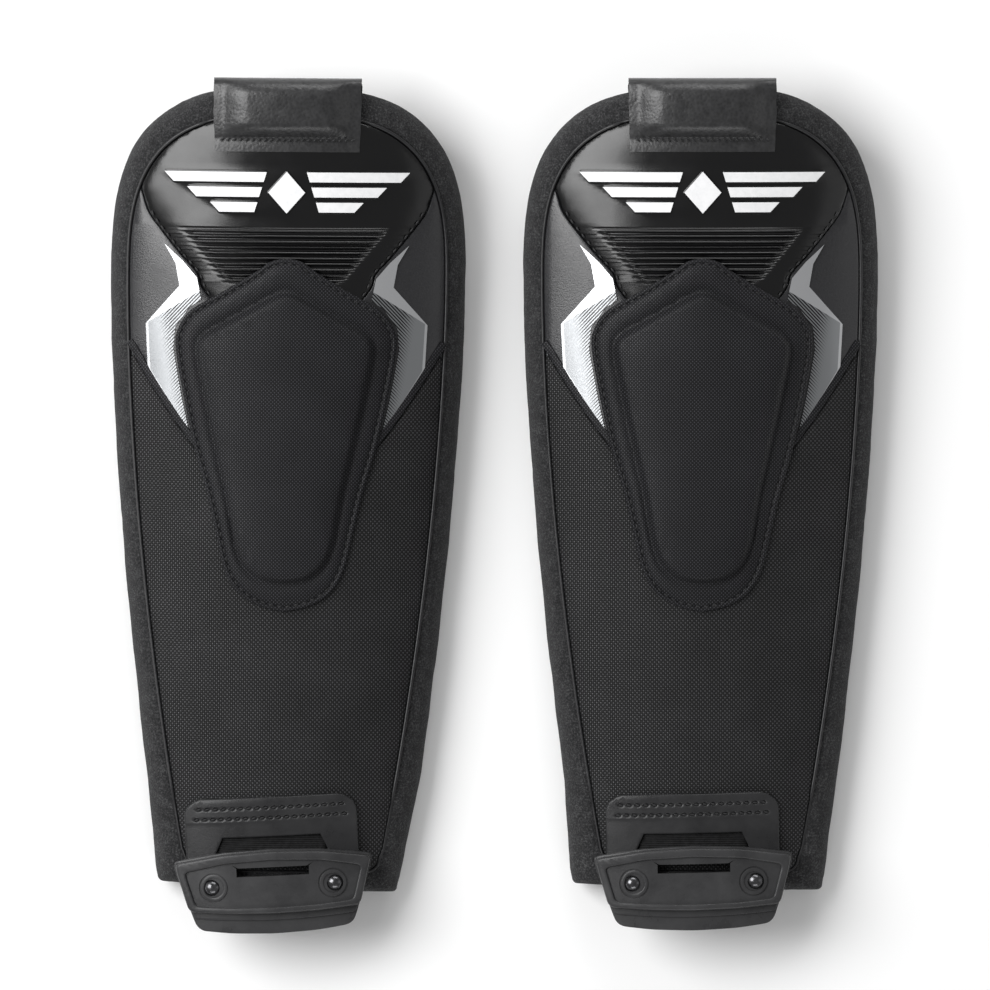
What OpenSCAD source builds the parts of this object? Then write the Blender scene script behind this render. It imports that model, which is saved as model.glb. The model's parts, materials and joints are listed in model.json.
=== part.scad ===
// Pair of hockey shin pads: each pad is the long, arched shin tongue of a skate.
// Left and right pads are mirror images that lie face up, the toe ends towards -Y.
// Each pad is drawn about the axis of its arch, which runs along Y, and is then put in place.

/* [Pad outline] */
// Half of the pad's width over the felt rim, at its widest
rim_half = 58; // [56:0.5:60]
// Y of the widest place, measured from the middle of the overall length
wide_y = 73; // [71:0.5:75]
// Height of the rounded top above the widest place
rim_dome = 63.5; // [62:0.5:65]
// How much the rim narrows on each side down to the toe
rim_drop = 18; // [16:0.5:20]
// Y of the felt rim's toe edge
rim_toe = -124.5; // [-126:0.5:-123]
// Half-width of the sewn shell inside the rim, at its widest
shell_half = 51.5; // [50:0.5:53]
// Height of the shell's rounded top above the widest place
shell_dome = 54.2; // [53:0.2:55]
// How much the shell narrows on each side down to the toe
shell_drop = 21.1; // [19:0.1:23]
// Y of the shell's toe edge
shell_toe = -119; // [-120:0.5:-118]

/* [Layers] */
// Radius of the arch on the leg side
arch_r = 92; // [90:1:96]
// Thickness of the felt liner
felt_t = 4; // [3:0.5:5]
// Thickness of the foam core
foam_t = 7; // [6:0.5:8]
// Thickness of the sewn front panels
panel_t = 1.2; // [1:0.1:1.5]
// Gap left between two layers
gap = 0.1; // [0.05:0.01:0.15]

/* [Shin cap] */
// Height of the padded cap above the front panels
cap_rise = 6.1; // [5:0.1:7]
// Thickness of the cap's moulded cover
cap_t = 1.2; // [1:0.1:1.5]
// Thickness of the hard plate inside the cap
plate_t = 1.6; // [1.2:0.1:2]

/* [Pull tab] */
// Half-width of the pull tab
tab_half = 24.3; // [22:0.1:26]
// Half-width of the padded middle of the pull tab
core_half = 19.5; // [17:0.5:21]
// Thickness of the pull tab's leather
leather_t = 1.6; // [1.2:0.1:2]
// Y of the fold at the very top
fold_y = 139.8; // [139:0.1:141]
// Y of the sewn front edge
flap_y = 115.6; // [114:0.1:117]

/* [Toe clip] */
// Turn of the left toe clip in the pad's plane, in degrees, its inner end towards the top
left_clip_yaw = 3.3; // [0:0.1:5]
// Turn of the right toe clip in the pad's plane, in degrees, its inner end towards the top
right_clip_yaw = -1.4; // [-2:0.1:5]
// Sideways place of the toe clip on both pads
clip_x = -2.5; // [-4:0.5:4]
// Y of the middle of the left toe clip
left_clip_y = -125.4; // [-127:0.1:-125]
// Y of the middle of the right toe clip
right_clip_y = -124.4; // [-127:0.1:-124.3]
// Thickness of the rubber strap that carries the clip
strap_t = 2; // [1.5:0.1:2.4]
// Distance of the flexing line from the clip's middle
flex_v = 15.6; // [15.2:0.1:15.8]
// Distance of each rivet from the clip's middle, across
rivet_u = 19.5; // [18:0.5:20]
// Radius of the rivet heads
rivet_r = 2.4; // [2:0.1:2.6]
// Radius of the rivet shanks
shank_r = 1.1; // [1:0.1:1.2]
// Length of the lace slot
slot_len = 23.7; // [20:0.1:25]
// Width of the lace slot
slot_w = 2.9; // [2.2:0.1:3]
// Distance of the lace slot from the clip's middle
slot_v = 6.7; // [5.8:0.1:7]

/* [Pair] */
// Distance from the middle of the pair to the middle of each pad
pad_x = 67.7; // [64:0.1:75]
// Tilt that lets the arched pad lie along its edges, in degrees
tilt = 3.4; // [3:0.1:4]
// Turn of the left pad in the floor plane about its widest place, in degrees
left_lean = -0.5; // [-2:0.5:0]
// Shift that puts the pair's middle over the origin
pair_y = 0.9; // [0:0.1:2]
// Height of the arch's axis below the floor
axis_depth = 75.4; // [75:0.1:76]

/* [Hidden] */
$fn = 180;

// Radii of the layers, from the leg side outwards
foam_r = arch_r + felt_t + gap;
panel_r = foam_r + foam_t + gap;
front_r = panel_r + panel_t;
trim_r = front_r + gap;
rim_r = front_r - 1;
cap_r = front_r + cap_rise;
leaf_r = front_r + 0.4;
strap_r = trim_r + strap_t;
base_r = strap_r + gap;
lip_r = base_r + 1.6;
step_r = base_r + 2.4;
floor_r = step_r + gap + 1.2;
border_r = floor_r + 1;

// Powers of the rounded top and of the narrowing sides
dome_power = 2.9;
rim_power = 1.6;
shell_power = 1.75;
side_len = 195.8;
far = 150;
cap_foot = 0.3;

// Half outline of the shin cap, from its lower point to its top
cap_half = [
    [0, -34.2], [8, -32.4], [15, -28.2], [19.6, -20.5], [22.6, -8], [25.4, 4], [29.4, 18],
    [33.2, 35], [36, 51], [35.3, 57.6], [31, 63.9], [20, 70.4], [9.8, 76.6], [5, 80], [0, 81]
];
// Half outline of the cap's raised middle
plateau_half = [
    [0, -25], [9.5, -21.5], [15.8, -13], [19.2, 4], [24, 25], [29.2, 52], [28, 55.5],
    [15, 63], [3.6, 69.6], [0, 70.5]
];
// Seam between the crest panel and a wing panel, from the rim down to under the cap
crest_seam = [[48.3, 104.5], [46.6, 101], [41, 90.2], [33.5, 81.2], [28.4, 75], [26.6, 67.4], [20, 62]];
// Lower hem of a wing panel, from the rim down to under the cap
wing_hem = [[52.5, 52.5], [50.2, 49.2], [45, 40.7], [37.1, 28.9], [29.5, 18.8], [22, 9]];
// Outline of the silver flash printed on a wing panel
flash = [
    [39.9, 85.3], [36.2, 79], [34.9, 71.6], [46, 59.2], [45.2, 44], [30.9, 21.6],
    [33.7, 35], [36.5, 51], [35.9, 57.9], [31.3, 64.5], [27.6, 67.2], [29.2, 74.4], [33.7, 79.6]
];
// Half outlines of the toe clip's parts, about the clip's middle
clip_half = [
    [0, -13.3], [14, -13], [24.2, -12.3], [25.7, -10.8], [32.2, 8.6], [32.1, 10.4], [30.6, 11.5],
    [16, 13.2], [0, 13.9]
];
front_half = [
    [0, -6], [14, -5.7], [27.3, -4.9], [31.5, 8.2], [31.4, 10.2], [30, 11], [16, 12.7], [0, 13.4]
];
recess_half = [
    [0, -4.2], [14, -3.9], [25.4, -3.1], [28.9, 7.4], [28.6, 8.4], [16, 9.8], [0, 10.5]
];
strap_half = [[28.2, -3.4], [28.2, 27.2], [27.6, 28.6], [24.8, 30.3], [23.2, 30.7], [0, 30.7]];
window_low = 4;
window_high = 17.7;

// A smooth curve through points, with n steps between two of them
function curve_at(a, b, c, d, t) =
    0.5 * (2 * b + (c - a) * t + (2 * a - 5 * b + 4 * c - d) * t * t + (3 * b - a - 3 * c + d) * t * t * t);
function curve(points, n = 3) = let (last = len(points) - 1) concat(
    [for (i = [0:last - 1], k = [0:n - 1])
        curve_at(points[max(i - 1, 0)], points[i], points[i + 1], points[min(i + 2, last)], k / n)],
    [points[last]]);
// A half outline and its mirror image, as one closed outline
function both_sides(half) = concat(half,
    [for (i = [len(half) - 1:-1:0]) if (half[i][0] > 0.01) [-half[i][0], half[i][1]]]);
function shrunk(points, share, mid_y) =
    [for (p = points) [p[0] * share, mid_y + (p[1] - mid_y) * share]];
// Half-width of a side that narrows towards the toe
function side_x(half, drop, power, y) = half - drop * pow((wide_y - y) / side_len, power);
function arched_half(half, dome, drop, power, toe, corner) = let (foot = side_x(half, drop, power, toe)) concat(
    [for (k = [0:3]) [foot - corner * (1 - sin(30 * k)), toe + corner * (1 - cos(30 * k))]],
    [for (k = [1:9]) let (y = toe + corner + (wide_y - toe - corner) * k / 10) [side_x(half, drop, power, y), y]],
    [for (t = [0:7.5:90]) [half * pow(cos(t), 2 / dome_power), wide_y + dome * pow(sin(t), 2 / dome_power)]]);

module rim_outline() {
    polygon(both_sides(arched_half(rim_half, rim_dome, rim_drop, rim_power, rim_toe, 4)));
}
module shell_outline(grow = 0) {
    polygon(both_sides(arched_half(shell_half + grow, shell_dome + grow, shell_drop, shell_power,
        shell_toe - grow, 3)));
}
// Everything between two radii about the arch's axis
module tube(inner, outer) {
    rotate([90, 0, 0]) difference() {
        cylinder(h = 2 * far + 20, r = outer, center = true);
        cylinder(h = 2 * far + 30, r = inner, center = true);
    }
}
// A flat outline bent over the arch, between two radii
module layer(inner, outer) {
    intersection() {
        tube(inner, outer);
        linear_extrude(height = far) children();
    }
}
function clip_yaw(side) = side > 0 ? left_clip_yaw : right_clip_yaw;
function clip_y(side) = side > 0 ? left_clip_y : right_clip_y;
module clip_place(side) {
    translate([side * clip_x, clip_y(side)]) rotate(clip_yaw(side)) children();
}
// Children stand on the arch at a place given about the clip's middle
module on_arch(side, u, v) {
    yaw = clip_yaw(side);
    x = side * clip_x + u * cos(yaw) - v * sin(yaw);
    y = clip_y(side) + u * sin(yaw) + v * cos(yaw);
    translate([0, y, 0]) rotate([0, asin(x / strap_r), 0]) children();
}
module tilted() {
    rotate([tilt, 0, 0]) translate([0, 0, -axis_depth / cos(tilt)]) children();
}
module left() {
    translate([-pad_x, pair_y + wide_y, 0]) rotate([0, 0, left_lean]) translate([0, -wide_y, 0])
        tilted() children();
}
module right() {
    translate([pad_x, pair_y, 0]) mirror([1, 0, 0]) tilted() children();
}
// Space under the floor, drawn about the arch's axis
module under_floor() {
    translate([0, 0, axis_depth / cos(tilt)]) rotate([-tilt, 0, 0])
        translate([0, 0, -far]) cube([2 * far, 3 * far, 2 * far], center = true);
}

module felt_liner() {
    color("#2b2b2c") difference() {
        layer(arch_r, rim_r) rim_outline();
        layer(arch_r + felt_t, rim_r + 2) shell_outline(1.3);
        under_floor();
    }
}
module foam_core() {
    color("#8d8f92") layer(foam_r, foam_r + foam_t) shell_outline();
}
module rim_piping() {
    color("#3a3a3c") layer(foam_r + 3, front_r) difference() {
        shell_outline(1.2);
        shell_outline(0.1);
    }
}
// Area of a wing panel before it is cut to the shell, grown over its seam and its hem
module wing_area(hand, grow = 0) {
    seam = [for (p = curve(crest_seam)) [hand * (p[0] - grow), p[1]]];
    hem = [for (i = [len(wing_hem) - 1:-1:0]) [hand * (wing_hem[i][0] + grow), wing_hem[i][1] - grow]];
    polygon(concat(seam, hem, [[hand * 70, 52.5 - grow], [hand * 70, 104.5]]));
}
module nylon_panel() {
    color("#1d1d1f") layer(panel_r, front_r) intersection() {
        difference() {
            shell_outline();
            for (hand = [-1, 1]) wing_area(hand, 0.15);
        }
        polygon([[-far, -far], [far, -far], [far, 52.4], [50, 48.9], [24, 11], [-24, 11], [-50, 48.9], [-far, 52.4]]);
    }
}
module crest_panel() {
    color("#151517") {
        layer(panel_r, front_r) intersection() {
            difference() {
                shell_outline();
                for (hand = [-1, 1]) wing_area(hand, 0.15);
            }
            polygon([[-far, 104.6], [-52, 104.6], [-20, 62], [20, 62], [52, 104.6], [far, 104.6], [far, far], [-far, far]]);
        }
        layer(front_r - 0.2, front_r + 0.7) difference() {
            for (k = [0:9]) {
                rib_y = 73.7 + 1.8 * k;
                rib_half = 19.8 + 0.84 * (rib_y - 73.7);
                translate([-rib_half, rib_y - 0.5]) square([2 * rib_half, 1]);
            }
            polygon(both_sides(shrunk(curve(cap_half), 1.03, 25)));
        }
    }
}
module wing(hand) {
    color("#38383a") layer(panel_r, front_r) intersection() {
        shell_outline();
        wing_area(hand);
    }
}
module silver_flash(hand) {
    color("#c9cbce") layer(trim_r, trim_r + 0.25) polygon([for (p = flash) [hand * p[0], p[1]]]);
}
module emblem() {
    color("#d8d9db") layer(trim_r, trim_r + 0.4) {
        polygon([[0, 95.6], [6, 102.4], [0, 109.2], [-6, 102.4]]);
        for (hand = [-1, 1], k = [0:2]) {
            low = 96 + 4.9 * k;
            tip = 22 + 7.5 * k;
            polygon([for (p = [[10.5 - 1.5 * k, low], [tip, low], [tip + 3, low + 3.2], [9.5 - 1.5 * k, low + 3.2]])
                [hand * p[0], p[1]]]);
        }
    }
}
module cap_cover() {
    color("#202022") difference() {
        union() {
            layer(trim_r + cap_foot, trim_r + cap_foot + cap_t) polygon(both_sides(curve(cap_half)));
            layer(trim_r + cap_foot, cap_r) polygon(both_sides(plateau_half));
        }
        layer(trim_r - 1, cap_r - cap_t) polygon(both_sides(shrunk(plateau_half, 0.93, 22)));
    }
}
module cap_plate() {
    color("#707274") layer(trim_r + cap_foot, trim_r + cap_foot + plate_t)
        polygon(both_sides(shrunk(plateau_half, 0.92, 22)));
}
module cap_foam() {
    color("#8d8f92") layer(trim_r + cap_foot + plate_t + gap, cap_r - cap_t - gap)
        polygon(both_sides(shrunk(plateau_half, 0.92, 22)));
}
module pull_tab() {
    back_r = arch_r - gap;
    raised = leather_t + 2.4;
    color("#2c2c2d") difference() {
        union() {
            layer(trim_r, trim_r + leather_t) translate([-tab_half, flap_y])
                square([2 * tab_half, fold_y - flap_y]);
            layer(trim_r, trim_r + raised) translate([-core_half - leather_t, flap_y + 4.2])
                square([2 * (core_half + leather_t), fold_y - flap_y - 4.2]);
            layer(back_r - leather_t, trim_r + leather_t) translate([-tab_half, fold_y - leather_t])
                square([2 * tab_half, leather_t]);
            layer(back_r - leather_t, back_r) translate([-tab_half, flap_y + 1])
                square([2 * tab_half, fold_y - flap_y - 1]);
        }
        layer(trim_r - 0.1, trim_r + raised - leather_t) translate([-core_half - gap, flap_y + 5.8])
            square([2 * (core_half + gap), fold_y - leather_t - flap_y - 5.8]);
    }
}
module pull_core() {
    color("#4a4a4c") layer(trim_r + gap, trim_r + 2.3) translate([-core_half, flap_y + 5.9])
        square([2 * core_half, fold_y - leather_t - flap_y - 6]);
}
module window_cut() {
    polygon([[-17.6, window_low], [17.6, window_low], [16.6, window_high], [-16.6, window_high]]);
}
module toe_tab(side) {
    color("#3b3b3c") layer(trim_r, strap_r) clip_place(side) intersection() {
        difference() {
            polygon(both_sides(strap_half));
            window_cut();
        }
        translate([-far, flex_v + 1]) square([2 * far, far]);
    }
}
module rivet_bores(side) {
    for (hand = [-1, 1]) on_arch(side, hand * rivet_u, 2) cylinder(h = far, r = shank_r + gap);
}
module toe_leaf(side) {
    color("#3b3b3c") difference() {
        layer(leaf_r, strap_r) clip_place(side) intersection() {
            difference() {
                polygon(both_sides(strap_half));
                window_cut();
            }
            translate([-far, flex_v - 1.4 - far]) square([2 * far, far]);
        }
        rivet_bores(side);
    }
}
module slot_cut() {
    translate([-slot_len / 2, slot_v - slot_w / 2]) square([slot_len, slot_w]);
}
module clip_base(side) {
    color("#363637") difference() {
        union() {
            layer(base_r, lip_r) clip_place(side) polygon(both_sides(clip_half));
            layer(base_r, step_r) clip_place(side) intersection() {
                polygon(both_sides(clip_half));
                translate([-far, -8.8]) square([2 * far, far]);
            }
        }
        layer(base_r - 1, step_r + 1) clip_place(side) slot_cut();
        rivet_bores(side);
    }
}
module clip_plate(side) {
    color("#3d3d3e") difference() {
        layer(step_r + gap, border_r) clip_place(side) polygon(both_sides(front_half));
        layer(floor_r, border_r + 1) clip_place(side) polygon(both_sides(recess_half));
        layer(step_r - 1, border_r + 1) clip_place(side) slot_cut();
        rivet_bores(side);
        for (hand = [-1, 1])
            on_arch(side, hand * rivet_u, 2) translate([0, 0, floor_r - 0.35]) cylinder(h = 5, r = 4.5);
    }
}
module rivets(side) {
    head_z = floor_r - 0.3;
    head_h = 1.6;
    ball_r = (rivet_r * rivet_r + head_h * head_h) / (2 * head_h);
    color("#8a8b8d") for (hand = [-1, 1]) on_arch(side, hand * rivet_u, 2) {
        intersection() {
            translate([0, 0, head_z + head_h - ball_r]) sphere(r = ball_r);
            translate([0, 0, head_z]) cylinder(h = 5, r = rivet_r);
        }
        translate([0, 0, leaf_r - 0.9]) cylinder(h = head_z - leaf_r + 1, r = shank_r);
        translate([0, 0, leaf_r - 0.9]) cylinder(h = 0.7, r = shank_r + 0.4);
    }
}

left() felt_liner();  // left_felt_liner
left() foam_core();  // left_foam_core
left() rim_piping();  // left_rim_piping
left() nylon_panel();  // left_nylon_panel
left() crest_panel();  // left_crest_panel
left() wing(-1);  // left_wing_outer
left() wing(1);  // left_wing_inner
left() silver_flash(-1);  // left_flash_outer
left() silver_flash(1);  // left_flash_inner
left() emblem();  // left_emblem
left() cap_cover();  // left_cap_cover
left() cap_plate();  // left_cap_plate
left() cap_foam();  // left_cap_foam
left() pull_tab();  // left_pull_tab
left() pull_core();  // left_pull_core
left() toe_tab(1);  // left_toe_tab
left() toe_leaf(1);  // left_toe_leaf
left() clip_base(1);  // left_clip_base
left() clip_plate(1);  // left_clip_plate
left() rivets(1);  // left_rivets
right() felt_liner();  // right_felt_liner
right() foam_core();  // right_foam_core
right() rim_piping();  // right_rim_piping
right() nylon_panel();  // right_nylon_panel
right() crest_panel();  // right_crest_panel
right() wing(-1);  // right_wing_outer
right() wing(1);  // right_wing_inner
right() silver_flash(-1);  // right_flash_outer
right() silver_flash(1);  // right_flash_inner
right() emblem();  // right_emblem
right() cap_cover();  // right_cap_cover
right() cap_plate();  // right_cap_plate
right() cap_foam();  // right_cap_foam
right() pull_tab();  // right_pull_tab
right() pull_core();  // right_pull_core
right() toe_tab(-1);  // right_toe_tab
right() toe_leaf(-1);  // right_toe_leaf
right() clip_base(-1);  // right_clip_base
right() clip_plate(-1);  // right_clip_plate
right() rivets(-1);  // right_rivets
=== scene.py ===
import json
import math

import bmesh
import bpy
from mathutils import Matrix, Vector, noise
from mathutils.kdtree import KDTree


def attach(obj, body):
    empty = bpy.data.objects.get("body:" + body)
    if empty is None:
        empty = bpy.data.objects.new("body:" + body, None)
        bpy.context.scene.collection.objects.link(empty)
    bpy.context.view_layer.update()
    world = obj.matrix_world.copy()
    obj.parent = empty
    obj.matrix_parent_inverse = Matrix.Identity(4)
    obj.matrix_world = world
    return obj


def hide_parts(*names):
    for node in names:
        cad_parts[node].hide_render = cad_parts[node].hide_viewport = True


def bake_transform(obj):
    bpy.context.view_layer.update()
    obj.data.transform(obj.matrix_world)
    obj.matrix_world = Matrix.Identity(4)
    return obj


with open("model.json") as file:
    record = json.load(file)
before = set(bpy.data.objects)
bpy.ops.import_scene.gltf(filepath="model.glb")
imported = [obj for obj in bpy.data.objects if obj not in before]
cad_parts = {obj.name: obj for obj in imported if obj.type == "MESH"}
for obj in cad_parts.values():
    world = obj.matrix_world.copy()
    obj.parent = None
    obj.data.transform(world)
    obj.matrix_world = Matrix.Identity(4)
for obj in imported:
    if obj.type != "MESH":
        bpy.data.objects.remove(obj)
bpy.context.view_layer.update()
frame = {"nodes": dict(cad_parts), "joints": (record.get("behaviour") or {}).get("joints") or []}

MM = 0.001

# A pad is drawn in millimetres about the axis of its arch, which runs along Y, and is then put in place.
TILT = math.radians(3.4)
LEAN = {"left": math.radians(-0.5), "right": 0.0}
HAND = {"left": 1, "right": -1}

# Radii of the layers, from the leg side outwards, and the thickness of a sewn panel
ARCH_R = 92.0
FRONT_R = 104.4
CAP_R = FRONT_R + 0.35
STRAP_R = 106.5
PANEL_T = 1.2

# Outlines of the felt rim and of the sewn shell inside it
WIDE_Y = 73.0
SIDE_LEN = 195.8
RIM = {"half": 58.2, "dome": 63.7, "drop": 18.0, "power": 1.6, "toe": -125.6, "corner": 1.6}
SHELL = {"half": 51.5, "dome": 54.2, "drop": 21.1, "power": 1.75, "toe": -119.0, "corner": 4.0}
DOME_POWER = 2.9
TOE_SLOPE = {"left": -0.04, "right": 0.026}
TOE_OUT = {"left": (1.3, -2.4), "right": (0.0, 2.3)}

# Toe clip: its place and turn on each pad, and the line where its strap bends
CLIP_X = -2.5
CLIP_Y = {"left": -125.4, "right": -124.4}
CLIP_YAW = {"left": math.radians(3.3), "right": math.radians(-1.4)}
FLEX_V, FLEX_Z = 15.6, 103.2
RIVET_U, RIVET_V = 19.5, 2.0
SLOT_LEN, SLOT_W, SLOT_V = 23.7, 2.9, 6.7

CAP_HALF = [
    (0, -34.2), (8, -32.4), (15, -28.2), (19.6, -20.5), (22.6, -8), (25.4, 4), (29.4, 18),
    (33.2, 35), (36, 51), (35.3, 57.6), (31, 63.9), (20, 70.4), (9.8, 76.6), (5, 80), (0, 81),
]
CAP_POINTS = 168
PLATEAU_HALF = [
    (0, -25.4), (8, -24), (13.6, -19.5), (16.6, -12), (19.2, 4), (24, 25), (28.9, 48), (29.3, 52.5),
    (27.6, 56), (15, 63), (3.6, 69.4), (0, 70.4),
]
CREST_SEAM = [
    (48.3, 104.5), (47.2, 101), (45.2, 95.4), (40.6, 89.2), (34.2, 81.4), (29.3, 76), (27.4, 70.8), (20, 62),
]
WING_HEM = [(52.5, 52.5), (50.2, 49.2), (45, 40.7), (37.1, 28.9), (29.5, 18.8), (22, 9)]
FLASH = [
    (39.9, 85.3), (36.2, 79), (34.9, 71.6), (46, 59.2), (45.2, 44), (30.9, 21.6),
    (33.9, 35), (36.8, 51), (36.2, 58.2), (31.5, 64.8), (27.7, 67.2), (29.2, 74.4), (33.7, 79.6),
]
CLIP_HALF = [(0, -13.8), (14, -13.3), (25.4, -12.0), (32.4, 8.4), (32.3, 10.8), (16, 13.2), (0, 13.9)]
FRONT_HALF = [(0, -7), (14, -6.7), (28.0, -5.7), (31.7, 8.2), (31.6, 10.3), (16, 12.7), (0, 13.4)]
RECESS_HALF = [(0, -5), (14, -4.7), (25.8, -3.8), (28.9, 7.2), (16, 9.7), (0, 10.5)]
STRAP_ROWS = {"low": [(-25.5, 24.0), (25.5, 24.0)], "high": [(-24.7, 27.3), (24.7, 27.3)]}
STRAP_PITCH = 2.6
STRAP_HALF = [(28.2, -3.4), (28.2, 25.8), (27.2, 28.2), (24.6, 30.1), (22.4, 30.7), (0, 30.7)]
WINDOW = [(-17.6, 4.4), (17.6, 4.4), (18.2, 13), (16, 17.7), (-16, 17.7), (-18.2, 13)]
# Half outline of the dark sheet behind the strap's window, painted shade for the nylon seen through it
WINDOW_SHADE_SHEET_HALF = [(17.2, 9.0), (17.6, 14.0), (16.4, 18.4)]


# ---------------------------------------------------------------- outlines

def smoothed(points, steps=4):
    """A smooth curve through points, with some steps between two of them."""
    out = []
    for i in range(len(points) - 1):
        a, b = points[max(i - 1, 0)], points[i]
        c, d = points[i + 1], points[min(i + 2, len(points) - 1)]
        for k in range(steps):
            t = k / steps
            out.append(tuple(
                0.5 * (2 * q + (r - p) * t + (2 * p - 5 * q + 4 * r - s) * t * t
                       + (3 * q - p - 3 * r + s) * t ** 3)
                for p, q, r, s in zip(a, b, c, d)))
    return out + [points[-1]]


def rounded(points, corner):
    """A closed outline with its corners rounded off."""
    out = []
    for i, point in enumerate(points):
        tip = Vector(point)
        back, on = Vector(points[i - 1]) - tip, Vector(points[(i + 1) % len(points)]) - tip
        back, on = (way.normalized() * min(corner, way.length * 0.45) for way in (back, on))
        for k in range(6):
            t = k / 5
            out.append(tuple(tip + back * (1 - t) ** 2 + on * t ** 2))
    return out


def both_sides(half):
    """A half outline and its mirror image, as one closed outline."""
    return list(half) + [(-x, y) for x, y in reversed(half) if x > 0.01]


def handed(points, hand):
    """A closed outline on the +x side, or its mirror image, counter-clockwise either way."""
    return list(points) if hand > 0 else [(-x, y) for x, y in reversed(points)]


def side_at(o, y):
    """Half-width of an outline at y, below its widest place."""
    return o["half"] - o["drop"] * ((WIDE_Y - y) / SIDE_LEN) ** o["power"]


def arched(o, rows=60):
    """Closed outline of a pad: sides that narrow down to the toe, and a rounded top."""
    toe, corner = o["toe"], o["corner"]
    foot = side_at(o, toe)
    half = [(foot * k / 8, toe) for k in range(8) if foot * k / 8 < foot - corner - 1]
    for k in range(7):
        turn = math.radians(15 * k)
        half.append((foot - corner * (1 - math.sin(turn)), toe + corner * (1 - math.cos(turn))))
    for k in range(1, rows):
        y = toe + corner + (WIDE_Y - toe - corner) * k / rows
        half.append((side_at(o, y), y))
    for k in range(46):
        turn = math.radians(2 * k)
        x = o["half"] * max(math.cos(turn), 0) ** (2 / DOME_POWER)
        half.append((x, WIDE_Y + o["dome"] * math.sin(turn) ** (2 / DOME_POWER)))
    return both_sides(half)


def spread(path, count, closed=True):
    """Points the same distance apart along a path."""
    ring = list(path) + ([path[0]] if closed else [])
    along = [0.0]
    for a, b in zip(ring, ring[1:]):
        along.append(along[-1] + math.dist(a, b))
    out, i = [], 0
    for k in range(count):
        want = along[-1] * k / (count if closed else count - 1)
        while i < len(ring) - 2 and along[i + 1] < want:
            i += 1
        share = (want - along[i]) / max(along[i + 1] - along[i], 1e-9)
        out.append(tuple(p + (q - p) * share for p, q in zip(ring[i], ring[i + 1])))
    return out


def moved_in(ring, depth):
    """A closed outline, counter-clockwise, moved inwards along its own normals."""
    out, n = [], len(ring)
    for i in range(n):
        a, b = Vector(ring[i - 1]), Vector(ring[(i + 1) % n])
        run = (b - a).normalized()
        out.append((ring[i][0] - run.y * depth, ring[i][1] + run.x * depth))
    return out


def between(a, b, share):
    """Points a share of the way from one outline to another of as many points."""
    return [(p[0] + (q[0] - p[0]) * share, p[1] + (q[1] - p[1]) * share) for p, q in zip(a, b)]


def level(ring, height):
    """A flat outline lifted to a height."""
    return [(x, y, height) for x, y in ring]


# ---------------------------------------------------------------- meshes

def slice_along(bm, normal, low, high, step):
    """Cuts all faces by planes the same step apart."""
    at = low
    while at < high:
        bmesh.ops.bisect_plane(bm, geom=bm.verts[:] + bm.edges[:] + bm.faces[:], dist=1e-4,
                               plane_co=normal * at, plane_no=normal)
        at += step


def slice_up(bm, step_x, step_y):
    """Cuts the faces into cells, so that they can bend."""
    for axis, step in enumerate((step_x, step_y)):
        places = [v.co[axis] for v in bm.verts]
        if step:
            normal = Vector((axis == 0, axis == 1, 0))
            slice_along(bm, normal, min(places) + step / 2, max(places), step)


def slice_up_band(bm, low, high, step):
    """Cuts faces crosswise between two places on Y, fine enough for ribs or stitches."""
    slice_along(bm, Vector((0, 1, 0)), low, high, step)


def skin(rings, cell=None):
    """A closed skin through rings of points, with a face over each end."""
    bm = bmesh.new()
    loops = []
    for ring in rings:
        verts = [bm.verts.new(p) for p in ring]
        loops.append([bm.edges.new((a, b)) for a, b in zip(verts, verts[1:] + verts[:1])])
    for a, b in zip(loops, loops[1:]):
        bmesh.ops.bridge_loops(bm, edges=a + b)
    for end in (loops[0], loops[-1]):
        bmesh.ops.contextual_create(bm, geom=end)
    bmesh.ops.recalc_face_normals(bm, faces=bm.faces)
    if cell:
        slice_up(bm, *cell)
    return bm


def slab(outline, thick, edge, holes=()):
    """A flat slab with its upper edge rounded. Its outline and holes are closed lists of points."""
    bm = bmesh.new()
    border = []
    for ring in (outline, *holes):
        verts = [bm.verts.new((x, y, 0)) for x, y in ring]
        border += [bm.edges.new((a, b)) for a, b in zip(verts, verts[1:] + verts[:1])]
    if holes:
        bmesh.ops.triangle_fill(bm, use_beauty=True, edges=border)
    else:
        bmesh.ops.contextual_create(bm, geom=border)
    raised = bmesh.ops.extrude_face_region(bm, geom=bm.faces[:], use_keep_orig=True)
    top = [g for g in raised["geom"] if isinstance(g, bmesh.types.BMVert)]
    bmesh.ops.translate(bm, verts=top, vec=(0, 0, thick))
    bmesh.ops.recalc_face_normals(bm, faces=bm.faces)
    if edge:
        rim = [e for e in bm.edges if all(v.co.z > thick / 2 for v in e.verts)
               and any(abs(f.normal.z) < 0.5 for f in e.link_faces)]
        bmesh.ops.bevel(bm, geom=rim, offset=edge, offset_type="OFFSET", segments=2, profile=0.5,
                        affect="EDGES", clamp_overlap=True, material=-1)
    return bm


def joined(bm, part):
    """Adds one bmesh to another and frees it."""
    mesh = bpy.data.meshes.new("part")
    part.to_mesh(mesh)
    part.free()
    bm.from_mesh(mesh)
    bpy.data.meshes.remove(mesh)


def away_from(ring):
    """A function that gives how far a point is from an outline, seen flat."""
    tree = KDTree(len(ring))
    for i, (x, y) in enumerate(ring):
        tree.insert((x, y, 0), i)
    tree.balance()
    return lambda co: tree.find((co.x, co.y, 0))[2]


def puff(bm, outline, rise, reach):
    """Raises the upper face of a padded panel away from its seams."""
    away = away_from(spread(outline, int(sum(math.dist(a, b) for a, b in zip(outline, outline[1:])) / 0.6)))
    top = max(v.co.z for v in bm.verts)
    for v in bm.verts:
        if v.co.z > top * 0.6:
            v.co.z += rise * (1 - math.exp(-away(v.co) / reach))


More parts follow.
